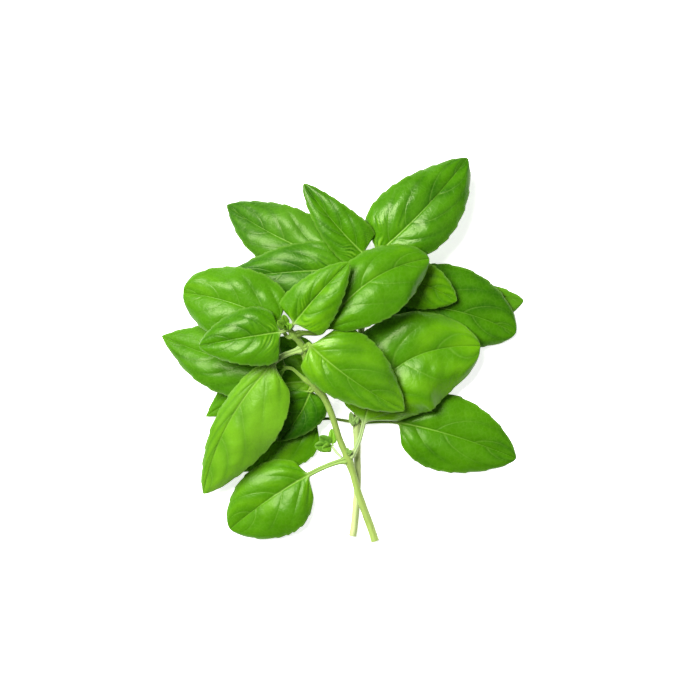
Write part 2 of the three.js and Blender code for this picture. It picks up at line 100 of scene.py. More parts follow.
# Stalks, in mm where nothing else is said.
STALK = 1.0  # radius of a stalk
STALK_YOUNG = 0.85
STALK_EDGE = 84.0  # degrees from the top of a stalk to where its upper half ends
STALK_DIP = (0.3, 0.22)  # the furrow on top: depth in radii, width as a share of a quarter turn
GAP = 0.35  # gap that the solids leave between a stalk and its stem
FOOT_START = 0.35  # where a foot begins, as a share of the way out of its stem
FLARE = (0.5, 1.1)  # how much wider a foot is, in radii, and the length over which that fades
BLEND = 0.075  # share of a blade over which it grows out of its stalk

# Stems. Depths are shares of the radius.
SQUARE = 0.05  # how square a stem is in section
RIBS = ((12, 0.012), (23, 0.008))  # ribs round a stem: how many and how deep
UNEVEN = (0.02, 9.0)  # depth and length in mm of a stem's unevenness
SHOOT_RADIUS = 0.5  # radius of a side shoot's own stalk, in mm

# A stem's end face, from its rim inwards: share of the radius and how far it stands out, in mm.
END_STEPS = ((0.93, 0.12), (0.6, 0.05), (0.3, 0.0))

# Seeds of the random fields, the first of each kind of piece.
LEAF_SEED = 100
STEM_SEED = 31
BUD_SEED = 300

# Stems: points of the centre line with the radius there, from the cut end to the tip.
STEMS = {
    "front_stem": [
        (14.7, -86.5, 1.62, 1.68), (12.8, -80.6, 2.0, 1.66), (11.0, -75.8, 2.7, 1.62),
        (8.2, -67.8, 4.6, 1.55), (6.6, -63.0, 5.5, 1.48), (5.4, -58.4, 6.2, 1.45),
        (3.9, -53.2, 7.1, 1.6), (2.6, -49.6, 7.9, 1.95), (1.2, -46.2, 8.9, 1.5),
        (-0.9, -41.4, 10.4, 1.35), (-2.8, -35.6, 12.4, 1.35), (-5.0, -28.8, 14.8, 1.4),
        (-8.2, -21.6, 17.4, 1.45), (-12.4, -16.4, 19.4, 1.8), (-14.4, -12.4, 20.8, 1.5),
        (-16.2, -5.6, 24.0, 1.35), (-17.6, 0.6, 27.2, 1.65), (-19.4, 3.8, 29.6, 1.35),
        (-21.8, 6.6, 31.6, 1.6), (-23.2, 8.4, 32.8, 1.2), (-24.3, 9.8, 33.8, 1.05),
    ],
    "rear_stem": [
        (4.5, -84.2, 1.5, 1.6), (5.2, -80.4, 1.5, 1.58), (6.0, -71.8, 1.5, 1.54),
        (6.6, -63.0, 1.5, 1.5), (6.8, -54.0, 1.55, 1.48), (6.6, -46.0, 2.4, 1.45),
        (6.5, -37.0, 3.8, 1.65), (6.5, -32.6, 4.7, 1.95), (6.6, -28.5, 5.3, 1.5),
        (6.8, -20.0, 6.3, 1.5), (7.0, -8.0, 7.5, 1.45), (8.2, 6.0, 9.3, 1.4),
        (9.6, 18.0, 11.9, 1.4), (10.6, 26.0, 14.2, 1.7), (11.0, 30.0, 15.6, 1.35),
        (11.3, 34.0, 17.0, 1.6), (11.6, 37.0, 18.2, 1.25), (11.8, 39.8, 19.4, 1.2),
    ],
}

# Leaves, as in the solids. foot: centre of the stem at the node that it grows from, then how far
# from there the stalk starts, less the gap. lead: the direction in which the stalk leaves the stem.
# base, crown and tip lie on the midrib, crown halfway along it. left and right: widest half width,
# then how blunt the blade is at its base and at its tip, seen from above and looking to the tip.
# stalk: the stalk's radius where it isn't the usual one. roll turns some blades about their midrib,
# at the base and at the tip. fold lifts the halves at the midrib and bend curves them down again, in
# degrees. wave lifts the margin, and phase shifts that wave along the blade.
LEAVES = [
    # The crown of the front shoot.
    {"name": "front_crown_leaf_right", "young": True, "foot": [-24.3, 9.8, 33.8, 1.05],
     "lead": [0.75, 0.35, 0.55],
     "base": [-21.9, 11.8, 36.6], "crown": [-9.7, 26.1, 41.2], "tip": [3.0, 39.2, 40.2],
     "left": [11.6, 0.17, 0.7], "right": [13.6, 0.17, 0.7],
     "roll": [4, -6], "fold": 24, "bend": 52, "wave": 0.5, "phase": 0.1},
    {"name": "front_crown_leaf_left", "young": True, "foot": [-24.3, 9.8, 33.8, 1.05],
     "lead": [-0.65, -0.45, 0.6],
     "base": [-27.5, 8.1, 36.2], "crown": [-44.9, 5.4, 38.6], "tip": [-64.3, 1.8, 33.4],
     "left": [14.4, 0.2, 0.62], "right": [13.8, 0.4, 0.7],
     "roll": [0, 4], "fold": 18, "bend": 50, "wave": 0.5, "phase": 0.6},
    # The pair below the crown, turned a quarter round.
    {"name": "front_upper_leaf_left", "young": True, "foot": [-21.8, 6.6, 31.6, 1.6],
     "lead": [-0.85, -0.35, -0.35],
     "base": [-28.4, 10.8, 31.4], "crown": [-48.6, 20.8, 32.8], "tip": [-71.6, 25.6, 24.6],
     "left": [17.4, 0.5, 0.46], "right": [17.8, 0.28, 0.44],
     "fold": 16, "bend": 48, "wave": 0.9, "phase": 0.3},
    {"name": "front_upper_leaf_right", "young": True, "stalk": 1.1, "foot": [-21.8, 6.6, 31.6, 2.7],
     "lead": [0.95, 0.25, 0.0],
     "base": [-8.4, 9.0, 31.8], "crown": [12.6, 31.0, 34.6], "tip": [39.0, 41.0, 26.4],
     "left": [13.8, 0.66, 0.6], "right": [19.0, 0.6, 0.6],
     "roll": [-6, -8], "fold": 15, "bend": 50, "wave": 0.7, "phase": 0.8},
    # The middle pair.
    {"name": "front_middle_leaf_left", "stalk": 1.3, "foot": [-17.6, 0.6, 27.2, 1.95],
     "lead": [-0.93, -0.32, 0.08],
     "base": [-30.4, -5.2, 27.8], "crown": [-51.6, -33.4, 22.6], "tip": [-62.8, -65.0, 9.0],
     "left": [22.7, 0.45, 0.68], "right": [7.0, 0.5, 0.76],
     "roll": [5, 6], "fold": 9, "bend": 42, "wave": 0.8, "phase": 0.2},
    {"name": "front_middle_leaf_right", "foot": [-17.6, 0.6, 27.2, 2.0], "lead": [0.62, 0.3, 0.72],
     "base": [-14.8, 2.4, 31.0], "crown": [5.2, -14.0, 30.0], "tip": [27.8, -27.4, 20.6],
     "left": [20.3, 0.42, 0.7], "right": [12.8, 0.3, 0.82],
     "roll": [3, 0], "fold": 14, "bend": 46, "wave": 0.8, "phase": 0.55},
    # The lower pair.
    {"name": "front_lower_leaf_left", "stalk": 0.8, "foot": [-12.4, -16.4, 19.4, 5.4],
     "lead": [-0.81, 0.56, 0.12],
     "base": [-24.6, -8.0, 20.8], "crown": [-52.6, -4.2, 16.4], "tip": [-81.8, 6.3, 5.0],
     "left": [16.4, 0.7, 0.95], "right": [17.8, 0.62, 0.85],
     "fold": 14, "bend": 44, "wave": 0.8, "phase": 0.4},
    {"name": "front_lower_leaf_inner", "foot": [-12.4, -16.4, 19.4, 2.15], "lead": [-0.6, -0.6, -0.5],
     "base": [-14.6, -18.4, 15.0], "crown": [-19.6, -29.4, 11.9], "tip": [-29.2, -41.4, 9.8],
     "left": [10.8, 0.4, 0.9], "right": [13.4, 0.26, 0.8],
     "fold": 16, "bend": 40, "wave": 0.5, "phase": 0.7},
    # The bottom pair, just above the crossing of the two stems.
    {"name": "front_bottom_leaf_left", "stalk": 1.2, "foot": [2.6, -49.6, 7.9, 1.95],
     "lead": [-0.97, -0.2, 0.05],
     "base": [-15.0, -56.2, 7.2], "crown": [-33.2, -67.4, 7.8], "tip": [-51.0, -81.2, 0.15],
     "left": [19.2, 0.55, 0.66], "right": [15.8, 0.5, 0.6],
     "fold": 12, "bend": 36, "wave": 0.5, "phase": 0.15},
    {"name": "front_bottom_leaf_right", "foot": [2.6, -49.6, 7.9, 3.7], "lead": [0.56, 0.81, 0.2],
     "base": [9.5, -33.3, 11.0], "crown": [26.8, -6.3, 17.4], "tip": [62.3, 1.8, 11.6],
     "left": [22.4, 0.6, 0.65], "right": [25.8, 0.42, 0.45],
     "roll": [3, 0], "fold": 13, "bend": 42, "wave": 0.9, "phase": 0.35},
    # The top pair of the rear shoot.
    {"name": "rear_top_leaf_right", "young": True, "foot": [11.8, 39.8, 19.4, 1.2],
     "lead": [0.9, 0.35, 0.3],
     "base": [15.2, 43.2, 21.0], "crown": [37.0, 63.6, 23.6], "tip": [56.4, 86.6, 13.0],
     "left": [19.2, 0.36, 0.74], "right": [17.6, 0.62, 0.8],
     "fold": 14, "bend": 46, "wave": 0.8, "phase": 0.65},
    {"name": "rear_top_leaf_middle", "young": True, "foot": [11.8, 39.8, 19.4, 1.2],
     "lead": [-0.6, 0.3, 0.75],
     "base": [9.6, 43.2, 22.8], "crown": [-3.6, 57.0, 25.6], "tip": [-17.4, 74.8, 24.0],
     "left": [9.6, 0.2, 0.64], "right": [11.4, 0.2, 0.7],
     "fold": 26, "bend": 44, "wave": 0.5, "phase": 0.9},
    # The second pair of the rear shoot.
    {"name": "rear_upper_leaf_left", "foot": [11.3, 34.0, 17.0, 1.6], "lead": [-0.95, 0.2, 0.2],
     "base": [2.6, 36.4, 18.2], "crown": [-22.6, 35.2, 19.6], "tip": [-53.0, 32.4, 11.6],
     "left": [21.8, 0.42, 0.88], "right": [13.8, 0.3, 0.68],
     "fold": 14, "bend": 44, "wave": 0.6, "phase": 0.05},
    {"name": "rear_upper_leaf_right", "foot": [11.3, 34.0, 17.0, 1.6], "lead": [0.95, 0.0, 0.1],
     "base": [18.4, 35.6, 17.2], "crown": [35.8, 29.8, 17.4], "tip": [51.6, 22.2, 14.2],
     "left": [10.4, 0.6, 0.8], "right": [12.4, 0.6, 0.8],
     "fold": 15, "bend": 44, "wave": 0.5, "phase": 0.5},
    # The third pair of the rear shoot.
    {"name": "rear_middle_leaf_left", "foot": [10.6, 26.0, 14.2, 1.7], "lead": [-0.97, 0.15, -0.1],
     "base": [-1.6, 39.6, 14.4], "crown": [-29.4, 51.2, 11.2], "tip": [-52.5, 65.6, 0.15],
     "left": [14.2, 0.62, 0.9], "right": [16.0, 0.5, 0.74],
     "fold": 13, "bend": 40, "wave": 0.8, "phase": 0.25},
    {"name": "rear_middle_leaf_right", "foot": [10.6, 26.0, 14.2, 1.7], "lead": [0.95, -0.1, -0.25],
     "base": [19.4, 19.4, 11.0], "crown": [48.6, 18.2, 9.8], "tip": [78.4, 7.6, 2.6],
     "left": [20.8, 0.56, 0.66], "right": [16.4, 0.6, 0.56],
     "fold": 13, "bend": 42, "wave": 0.8, "phase": 0.75},
    # The lower leaves of the rear shoot.
    {"name": "rear_lower_leaf_right", "foot": [8.2, 6.0, 9.3, 1.4], "lead": [0.95, 0.0, -0.3],
     "base": [28.0, 24.6, 5.0], "crown": [56.2, 25.4, 3.4], "tip": [82.0, 22.4, 0.15],
     "left": [5.8, 0.62, 0.7], "right": [14.4, 0.6, 0.66],
     "fold": 10, "bend": 26, "wave": 0.4, "phase": 0.45},
    {"name": "rear_lower_leaf_left", "foot": [6.8, -20.0, 6.3, 1.5], "lead": [-1, 0.0, 0.1],
     "base": [-10.4, -14.6, 9.4], "crown": [-36.4, -17.4, 8.4], "tip": [-62.0, -30.2, 2.4],
     "left": [14.0, 0.55, 0.95], "right": [22.0, 0.34, 1.05],
     "fold": 12, "bend": 38, "wave": 0.6, "phase": 0.85},
    # The bottom pair of the rear shoot.
    {"name": "rear_bottom_leaf_right", "stalk": 0.9, "foot": [6.5, -32.6, 4.7, 1.95],
     "lead": [1, 0.0, 0.05],
     "base": [24.8, -32.7, 5.0], "crown": [50.2, -38.8, 5.6], "tip": [78.6, -49.2, 0.15],
     "left": [18.2, 0.52, 0.72], "right": [17.6, 0.52, 0.72],
     "fold": 12, "bend": 36, "wave": 0.7, "phase": 0.3},
    {"name": "rear_bottom_leaf_left", "stalk": 0.65, "foot": [6.5, -32.6, 4.7, 1.95],
     "lead": [-1, 0.1, -0.1],
     "base": [-11.2, -31.8, 4.2], "crown": [-29.4, -40.4, 3.8], "tip": [-50.4, -54.2, 1.2],
     "left": [15.4, 0.52, 0.85], "right": [13.0, 0.6, 0.85],
     "fold": 12, "bend": 34, "wave": 0.5, "phase": 0.6},
]

# Side shoots and buds. Each little leaf has a root, a direction, a length and a width, and how far
# it curls up. Those with a stalk have its points too.
BUDS = {
    "front_crown_leaflets": {
        "leaves": [
            ((-25.1, 10.5, 35.9), (-0.22, 0.85, 0.6), (7.2, 4.0), 0.12),
            ((-25.1, 10.3, 35.9), (-0.75, 0.5, 0.85), (7.0, 4.2), 0.05),
            ((-24.8, 10.5, 35.9), (0.5, 0.1, 1.2), (5.4, 3.4), -0.05),
            ((-25.2, 10.4, 36.1), (-0.45, -0.1, 1.1), (5.4, 3.4), 0.1),
            ((-25.0, 10.4, 36.0), (0.2, 0.1, 1), (4.2, 2.8), 0.1),
        ],
    },
    "front_side_shoot_left": {
        "stalk": [[-0.5, -48.4, 9.1], [-2.6, -46.4, 8.5], [-4.6, -43.8, 7.8]],
        "leaves": [
            ((-4.6, -43.6, 7.8), (-1, 0.05, 0.1), (8.2, 6.0), 0.12),
            ((-4.8, -43.4, 7.8), (-0.8, 0.65, 0.15), (7.4, 5.4), 0.16),
            ((-4.8, -43.6, 7.9), (-0.9, -0.2, 0.8), (5.6, 4.6), -0.1),
            ((-4.4, -43.6, 7.9), (-0.05, 1, 0.0), (8.0, 4.0), 0.0),
        ],
    },
    "front_side_bud_right": {
        "leaves": [
            ((2.9, -47.4, 10.6), (-0.2, 1, 0.35), (3.6, 1.8), 0.1),
            ((3.0, -47.3, 10.6), (0.3, 0.9, 0.4), (2.8, 1.6), 0.2),
        ],
    },
    "rear_side_bud": {
        "leaves": [
            ((4.4, -34.2, 7.0), (-0.1, 1, 0.12), (6.4, 2.8), 0.1),
            ((4.5, -34.1, 7.0), (0.6, 0.9, 0.15), (5.4, 2.8), 0.1),
            ((4.4, -34.2, 7.0), (0.2, 0.8, 0.7), (3.4, 2.0), 0.1),
        ],
    },
}

# How each leaf looks. tone: darker below 0, lighter above; partly the leaf's own green and partly
# painted light and shade for how brightly the leaf is lit where it lies. haze: how milky its upper
# side is, which is a painted sheen.
# pleat: how strongly it is pleated near its base. gloss: how shiny it is, 1 for the usual shine.
# veins: side veins on each half. stalk: its stalk, darker below 0 and paler above; the darker stalks
# are partly their own olive green and partly painted shade where they lie in shadow.
LOOKS = {
    "front_crown_leaf_right": {"tone": 0.15, "pleat": 1.1, "stalk": 0.3},
    "front_crown_leaf_left": {"tone": -0.15, "pleat": 1.3, "gloss": 1.2, "stalk": 0.3},
    "front_upper_leaf_left": {"tone": 0.1, "haze": 0.1, "pleat": 0.8, "gloss": 1.1},
    "front_upper_leaf_right": {"tone": -0.1, "pleat": 0.4, "gloss": 1.1, "veins": 3.4, "stalk": -0.7},
    "front_middle_leaf_left": {"tone": 0.6, "haze": 0.5, "gloss": 0.8, "stalk": 0.35},
    "front_middle_leaf_right": {"tone": 0.3, "haze": 0.05, "pleat": 0.6, "gloss": 1.5, "veins": 3.6},
    "front_lower_leaf_left": {"tone": -0.05, "haze": 0.15, "gloss": 0.9},
    "front_lower_leaf_inner": {"tone": -0.9, "gloss": 0.6, "veins": 3.4},
    "front_bottom_leaf_left": {"tone": 0.3, "haze": 0.05, "pleat": 0.5, "veins": 3.6, "stalk": 0.25},
    "front_bottom_leaf_right": {"tone": 0.2, "pleat": 0.2, "gloss": 1.2, "veins": 3.2, "stalk": 0.6},
    "rear_top_leaf_right": {"tone": -0.6, "pleat": 1.4, "gloss": 1.4},
    "rear_top_leaf_middle": {"tone": -0.85, "pleat": 1.1, "gloss": 1.1},
    "rear_upper_leaf_left": {"tone": -0.8, "haze": 0.05, "pleat": 0.9},
    "rear_upper_leaf_right": {"tone": 0.4, "gloss": 0.6},
    "rear_middle_leaf_left": {"tone": -0.7, "haze": 0.2, "pleat": 0.5},
    "rear_middle_leaf_right": {"tone": -0.55, "gloss": 0.7},
    "rear_lower_leaf_right": {"tone": 0.15, "haze": 0.2, "gloss": 0.8},
    "rear_lower_leaf_left": {"tone": 0.5, "gloss": 0.5},
    "rear_bottom_leaf_right": {"tone": -0.4, "pleat": 0.3, "gloss": 0.9, "veins": 3.4},
    "rear_bottom_leaf_left": {"tone": 0.4, "gloss": 0.5, "veins": 3.4, "stalk": -0.6},
}
USUAL_LOOK = {
    "tone": 0.0, "haze": 0.0, "pleat": 0.25, "gloss": 1.0, "veins": USUAL_VEINS, "stalk": 0.0,
}

# The tone of each little leaf of a bud, in the order above, which is partly painted light on buds
# that lie in shade, how much they all look like their stalk, and how pale that is, which is partly
# painted light too.
BUD_LOOKS = {
    "front_crown_leaflets": ((1.6, 1.4, 1.8, 1.4, 1.2), 0.12, 0.3),
    "front_side_shoot_left": ((0.4, 0.1, 0.7, 1.5), 0.05, 1.0),
    "front_side_bud_right": ((1.5, 1.5), 0.35, 0.6),
    "rear_side_bud": ((1.8, 1.8, 1.8), 0.38, 0.8),
}
BUD_GLOSS = 0.6

# What the little leaves of the buds share, in the terms of the large ones.
BUD_LEAF = {"fold": 34, "bend": 50, "wave": 0.1, "stalk": 0.32, "veins": 3}
BUD_BLUNT = (0.42, 0.55)  # how blunt they are at the base and at the tip
BUD_BASE = 0.15  # where their blade begins, as a share of their length
BUD_ARCH = 0.2  # how far their middle arches up, in mm


def unit(a):
    return a / np.linalg.norm(a, axis=-1, keepdims=True)


def smooth(x, low, high):
    t = np.clip((x - low) / (high - low), 0, 1)
    return t * t * (3 - 2 * t)


def bell(x, width):
    return np.exp(-((x / width) ** 2))


class Wobble:
    """A smooth random field: a sum of plane waves with seeded directions."""

    def __init__(self, seed, count=10):
        rng = np.random.default_rng(seed)
        angle = rng.uniform(0, 2 * np.pi, count)
        scale = rng.uniform(0.6, 1.7, count)
        self.wave = np.stack([np.cos(angle), np.sin(angle)], -1) * scale[:, None]
        self.shift = rng.uniform(0, 2 * np.pi, count)
        self.height = math.sqrt(2 / count)

    def __call__(self, x, y, size):
        turns = (x[..., None] * self.wave[:, 0] + y[..., None] * self.wave[:, 1]) / size
        return np.sin(2 * np.pi * turns + self.shift).sum(-1) * self.height


def outline(u, a, b):
    """Half width of a blade as a share of its widest."""
    peak = a / (a + b)
    u = np.clip(u, 1e-6, 1 - 1e-6)
    return u ** a * (1 - u) ** b / (peak ** a * (1 - peak) ** b)


def midrib(leaf, u):
    """Points and directions on a blade's midrib: a parabola through base, crown and tip."""
    base, crown, tip = (np.array(leaf[key], float) for key in ("base", "crown", "tip"))
    control = 2 * crown - (base + tip) / 2
    u = np.asarray(u, float)[..., None]
    at = (1 - u) ** 2 * base + 2 * u * (1 - u) * control + u ** 2 * tip
    along = unit(2 * (1 - u) * (control - base) + 2 * u * (tip - control))
    return at, along


def side_frame(along, turn):
    """Directions to the left and up, seen along a line, after a turn about it."""
    across = unit(np.cross(UP, along))
    normal = np.cross(along, across)
    cosine, sine = np.cos(turn)[..., None], np.sin(turn)[..., None]
    return across * cosine + normal * sine, normal * cosine - across * sine


def teeth(u, sign, field):
    """How far the margin stands out: each tooth rises slowly and drops back on the tip's side."""
    sway = TEETH_SWAY[0] * field(60 * u, 30 * sign, TEETH_SWAY[1])
    place = (TEETH * u - 0.15 + sway) % 1.0
    saw = np.where(place < 1 - TOOTH_DROP, place / (1 - TOOTH_DROP), (1 - place) / TOOTH_DROP)
    return TOOTH * (saw - 0.5) * smooth(u, 0.06, 0.25) * smooth(u, 1.0, 0.92)


def cushion(turns):
    """Rounded cushions between sharp creases, one to each turn, and about level with 0."""
    return np.abs(np.cos(np.pi * turns)) ** 0.8 - 0.62


def relief(vein, u, far, x, y, pleat, broad, fine):
    """How the blade swells between its veins, in mm, before it is fitted to the leaf's size, and
    how much each place lies on top of a pleat."""
    spread = np.sin(np.pi * far ** 0.85) ** 0.7
    strength = 0.2 + 0.8 * smooth(u, 0.85, 0.25)
    strength = strength * (1 + 0.5 * broad(x + ELSEWHERE[0], y, PILLOW_SWAY))
    strength = np.clip(strength, 0.1, 1.6) * (0.35 + 0.65 * smooth(far, 1.0, 0.45))
    height = PILLOW * cushion(vein) * spread * strength
    crease = cushion(PLEATS * vein + 0.45 * fine(x, y, PLEAT_SWAY))
    pleat = pleat * np.clip(0.55 + 0.55 * broad(x + ELSEWHERE[1], y, PLEAT_SWAY), 0.05, 1.3)
    near_base = smooth(u + 0.35 * far, 0.65, 0.15)
    streak = pleat * crease * near_base * spread
    height += PLEAT * streak
    height += GRAIN[0] * fine(x, y, GRAIN[1]) * spread
    height += DIMPLES[0] * fine(x, y, DIMPLES[1]) * spread
    height += DOME * np.sin(np.pi * far) ** 0.8 * smooth(u, 0.0, 0.2)
    height += SWELLS[0] * broad(x, y, SWELLS[1]) * smooth(far, 0.1, 0.8)
    return height, streak


def blade_surface(leaf, pleat, seed, u, v):
    """The middle surface of a blade over stations u and places across v, in mm, with the way up
    from it and where each point lies among the veins and margins."""
    u, v = np.meshgrid(u, v, indexing="ij")
    at, along = midrib(leaf, u)
    roll = leaf.get("roll", LEVEL)
    side, up = side_frame(along, np.radians(roll[0] + (roll[1] - roll[0]) * u))
    left = v > 0
    sign, far = np.sign(v), np.abs(v)
    (left_half, *left_form), (right_half, *right_form) = leaf["left"], leaf["right"]
    half = np.where(left, left_half, right_half)
    share = np.where(left, outline(u, *left_form), outline(u, *right_form))
    width = np.maximum(half * share, TIP)

    fold, bend = math.radians(leaf["fold"]), math.radians(leaf["bend"])
    lean = fold - bend * far
    out = width * (math.sin(fold) - np.sin(lean)) / bend
    rise = width * (np.cos(lean) - math.cos(fold)) / bend
    turns = WAVES * u + leaf["phase"] + WAVE_SHIFT * sign
    rise += leaf["wave"] * share * far ** 2 * np.sin(2 * np.pi * turns)

    broad, fine = Wobble(seed), Wobble(seed + 50, 14)
    size = max(left_half, right_half) / LARGE
    local = half / LARGE
    length = np.linalg.norm(np.array(leaf["tip"]) - np.array(leaf["base"]))
    x, y = u * length, v * half
    out += teeth(u, sign, broad) * min(1.0, 1.2 * size) * smooth(far, 0.86, 1.0)
    count = leaf["veins"]
    slant = VEIN_SLANT * count / USUAL_VEINS
    vein = count * u - slant * far ** VEIN_CURVE + VEIN_OFFSET * sign
    vein += VEIN_SWAY[0] * broad(x, y, VEIN_SWAY[1])
    swell, streak = relief(vein, u, far, x, y, pleat, broad, fine)
    rise += swell * np.minimum(1.25 * share, 1.0) * local ** 0.7
    rise -= DOME_SINK * DOME * size ** 0.7 * smooth(u, 0.0, 0.2) * smooth(u, 1.0, 0.8)

    point = at + side * (out * sign)[..., None] + up * rise[..., None]
    rim = width * (1 - far)
    info = {"vein": vein, "rib": np.abs(out), "rim": rim, "along": u, "far": far, "streak": streak}
    return point, up, info


def grid_normals(points, up):
    normal = unit(np.cross(np.gradient(points, axis=0), np.gradient(points, axis=1)) + 1e-12)
    return normal * np.sign((normal * up).sum(-1, keepdims=True))


def columns():
    """Places across a blade, closer together at the midrib and next to the margins."""
    t = np.linspace(0, 1, HALF_COLUMNS + 1)
    v = 0.55 * t ** 1.7 + 0.45 * t
    v[-2] = 0.985
    return np.concatenate([-v[::-1], v[1:]])


def blade_faces(leaf, pleat, seed, u, radius):
    """The upper and the lower face of a blade, with its grooves and its ribs."""
    point, up, info = blade_surface(leaf, pleat, seed, u, columns())
    normal = grid_normals(point, up)
    along, rib, rim = info["along"], info["rib"], info["rim"]
    thick = BLADE - (BLADE - RIM) * smooth(rim, 1.2, 0.0)
    rest = 1 - along
    small = min(1.0, max(leaf["left"][0], leaf["right"][0]) / SMALL)
    keel = (KEEL_DEPTH[0] + KEEL_DEPTH[1] * radius * rest ** 1.1) * (1 - 0.6 * along)
    keel = keel * bell(rib, KEEL_WIDTH[0] + KEEL_WIDTH[1] * radius * rest ** 0.8)
    groove = small * (GROOVE_DEPTH[0] + GROOVE_DEPTH[1] * rest)
    groove = groove * bell(rib, small * (GROOVE_WIDTH[0] + GROOVE_WIDTH[1] * rest))
    line = bell(np.cos(np.pi * info["vein"]), LINE_WIDTH) * smooth(rim, 0.3, 4.0)
    line = line * smooth(along, 0.0, 0.08) * smooth(info["far"], 0.85, 0.4)
    top = point + normal * (thick / 2 - groove - LINE_ABOVE * small * line)[..., None]
    bottom = point - normal * (thick / 2 + keel + LINE_BELOW * small * line)[..., None]
    return top, bottom, info


def stalk_path(leaf):
    """The centre line of a stalk from inside its stem to the blade, and the way along it in mm."""
    foot = np.array(leaf["foot"][:3], float)
    lead = unit(np.array(leaf["lead"], float))
    reach = leaf["foot"][3] + GAP
    start = foot + lead * reach
    end, end_along = midrib(leaf, 0.0)
    length = np.linalg.norm(end - start)
    first, second = start + lead * length / 3, end - end_along * length / 3
    t = np.linspace(0, 1, STALK_ROWS)[:, None]
    rest = 1 - t
    curve = rest ** 3 * start + 3 * t * rest ** 2 * first
    curve = curve + 3 * t ** 2 * rest * second + t ** 3 * end
    slope = rest ** 2 * (first - start) + 2 * t * rest * (second - first) + t ** 2 * (end - second)
    inside = np.linspace(FOOT_START, 1, FOOT_ROWS, endpoint=False)[:, None]
    centre = np.concatenate([foot + lead * reach * inside, curve])
    along = unit(np.concatenate([np.tile(lead, (FOOT_ROWS, 1)), slope]))
    way = np.concatenate([reach * (inside[:, 0] - 1), t[:, 0] * length])
    return centre, along, way


def stalk_faces(centre, along, radius, turn):
    """The upper and the lower half of a stalk, point for point like the faces of a blade."""
    side, up = side_frame(along, turn)
    w = np.linspace(-1, 1, 2 * HALF_COLUMNS + 1)
    angle = np.radians(90 - STALK_EDGE * w)
    dip = 1 - STALK_DIP[0] * bell(w, STALK_DIP[1])
    faces = []
    for height in (np.sin(angle) * dip, -np.sin(angle)):
        offset = side[:, None] * np.cos(angle)[None, :, None] + up[:, None] * height[None, :, None]
        faces.append(centre[:, None] + radius[:, None, None] * offset)
    return faces


# What a stalk has in place of a blade's numbers: it lies far inside any margin and has no veins.
ON_STALK = {"vein": 0.0, "rib": 0.0, "rim": 5.0, "along": 0.0, "far": 0.0, "streak": 0.0}
RIB_LEAST = 0.6  # least radius of a stalk by which the pale line of its midrib is measured


def leaf_faces(leaf, pleat, seed, rows):
    """The upper and the lower face of a whole leaf, its stalk first, with what its look needs."""
    t = np.linspace(0, 1, rows)
    u = 0.004 + 0.996 * (0.75 * t + 0.25 * t * t * (3 - 2 * t))
    radius = leaf.get("stalk", STALK_YOUNG if leaf.get("young") else STALK)
    top, bottom, info = blade_faces(leaf, pleat, seed, u, radius)

    # The blade grows out of the stalk over its first few millimetres.
    turn = math.radians(leaf.get("roll", LEVEL)[0])
    centre, along = midrib(leaf, u)
    round_top, round_bottom = stalk_faces(centre, along, np.full(rows, radius), np.full(rows, turn))
    mix = smooth(u, 0.0, BLEND)[:, None, None]
    top = round_top * (1 - mix) + top * mix
    bottom = round_bottom * (1 - mix) + bottom * mix

    centre, along, way = stalk_path(leaf)
    flare = radius * (1 + FLARE[0] * np.exp(-np.maximum(way, -GAP) / FLARE[1]))
    turns = turn * smooth(way, 0, way[-1])
    stalk_top, stalk_bottom = stalk_faces(centre[:-1], along[:-1], flare[:-1], turns[:-1])
    top = np.concatenate([stalk_top, top])
    bottom = np.concatenate([stalk_bottom, bottom])

    blank = np.zeros(stalk_top.shape[:2])
    looks = {key: np.concatenate([blank + value, info[key]]) for key, value in ON_STALK.items()}
    looks["stalk"] = np.concatenate([blank + 1, 1 - smooth(info["along"], 0.0, 0.06)])
    looks["rib"] = looks["rib"] / max(radius, RIB_LEAST)
    return top, bottom, looks


def shell(top, bottom, first=0):
    """A closed shell over an upper and a lower grid: points, faces, and 1 for each lower face."""
    rows, cols = top.shape[:2]
    upper = first + np.arange(rows * cols).reshape(rows, cols)
    lower = upper + rows * cols

    def grid(index):
        corners = (index[:-1, :-1], index[1:, :-1], index[1:, 1:], index[:-1, 1:])
        return np.stack(corners, -1).reshape(-1, 4)

    def strip(above, below):
        return np.stack([above[:-1], above[1:], below[1:], below[:-1]], -1)

    above, below = grid(upper), grid(lower)[:, ::-1]
    edges = [
        strip(upper[:, 0], lower[:, 0])[:, ::-1],
        strip(upper[:, -1], lower[:, -1]),
        strip(upper[0], lower[0]),
        strip(upper[-1], lower[-1])[:, ::-1],
    ]
    faces = np.concatenate([above, below, *edges])
    slots = np.zeros(len(faces), int)
    slots[len(above):len(above) + len(below)] = 1
    points = np.concatenate([top.reshape(-1, 3), bottom.reshape(-1, 3)])
    return points, faces, slots


def swept_points(points, steps):
    """Points and radii along a smooth curve through a few points with a radius each."""
    p = np.array(points, float)
    gap = np.linalg.norm(np.diff(p[:, :3], axis=0), axis=1) ** 0.5
    knot = np.concatenate([[0], np.cumsum(gap)])
    slope = np.gradient(p, knot, axis=0)
    at = np.linspace(0, knot[-1], steps)
    k = np.clip(np.searchsorted(knot, at, side="right") - 1, 0, len(knot) - 2)
    h = (knot[k + 1] - knot[k])[:, None]
    x = (at - knot[k])[:, None] / h
    near, far = (2 * x - 3) * x * x + 1, (3 - 2 * x) * x * x
    near_slope, far_slope = ((x - 2) * x + 1) * x, (x - 1) * x * x
    curve = near * p[k] + far * p[k + 1] + h * (near_slope * slope[k] + far_slope * slope[k + 1])
    return curve[:, :3], curve[:, 3]


